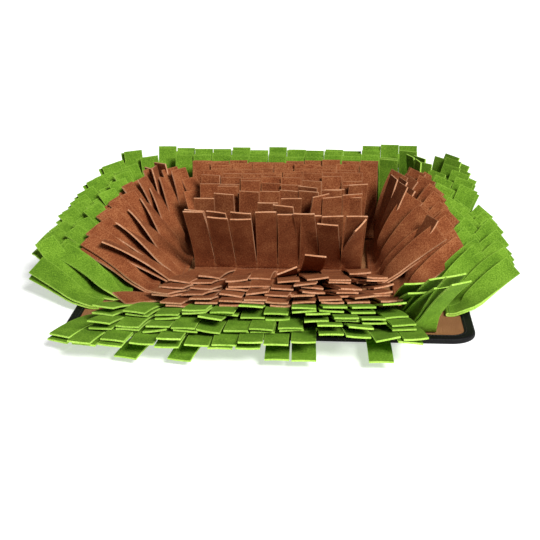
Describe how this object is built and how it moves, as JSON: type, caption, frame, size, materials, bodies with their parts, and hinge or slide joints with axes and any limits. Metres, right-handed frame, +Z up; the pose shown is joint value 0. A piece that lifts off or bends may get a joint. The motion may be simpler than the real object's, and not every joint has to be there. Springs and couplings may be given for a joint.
{
  "type": "snuffle mat",
  "caption": "Square felt foraging mat for dogs, edged with black tape, with bands of brown and green felt tabs that bloom outwards from the middle.",
  "frame": {"origin": "middle of the flat underside of the felt pad", "axes": "+Z up out of the mat; -Y to the front, where the tabs lie flat over the edge; +X to the right as seen from the front"},
  "size_m": [0.5668, 0.5606, 0.1111],
  "materials": {
    "brown_felt": "matte needled felt, reddish brown",
    "green_felt": "matte needled felt, leaf green",
    "pad_felt": "matte thick felt pad, speckled brown",
    "edging": "black ribbed polyester tape"
  },
  "bodies": {
    "root": {"pad": "pad_felt", "edging_tape": "edging", "centre_wall": "brown_felt", "back_row_1": "brown_felt", "back_row_2": "brown_felt", "back_row_3": "brown_felt", "front_row_0": "brown_felt", "front_row_1": "brown_felt", "front_row_2": "brown_felt", "front_row_3": "brown_felt", "back_ring_1": "brown_felt", "back_ring_2": "brown_felt", "front_ring_1": "brown_felt", "left_ring_1": "brown_felt", "left_ring_2": "brown_felt", "right_ring_1": "brown_felt", "right_ring_2": "brown_felt", "back_ring_3": "green_felt", "back_ring_4": "green_felt", "front_ring_2": "green_felt", "front_ring_3": "green_felt", "front_ring_4": "green_felt", "left_ring_3": "green_felt", "left_ring_4": "green_felt", "right_ring_3": "green_felt", "right_ring_4": "green_felt"}
  },
  "joints": []
}
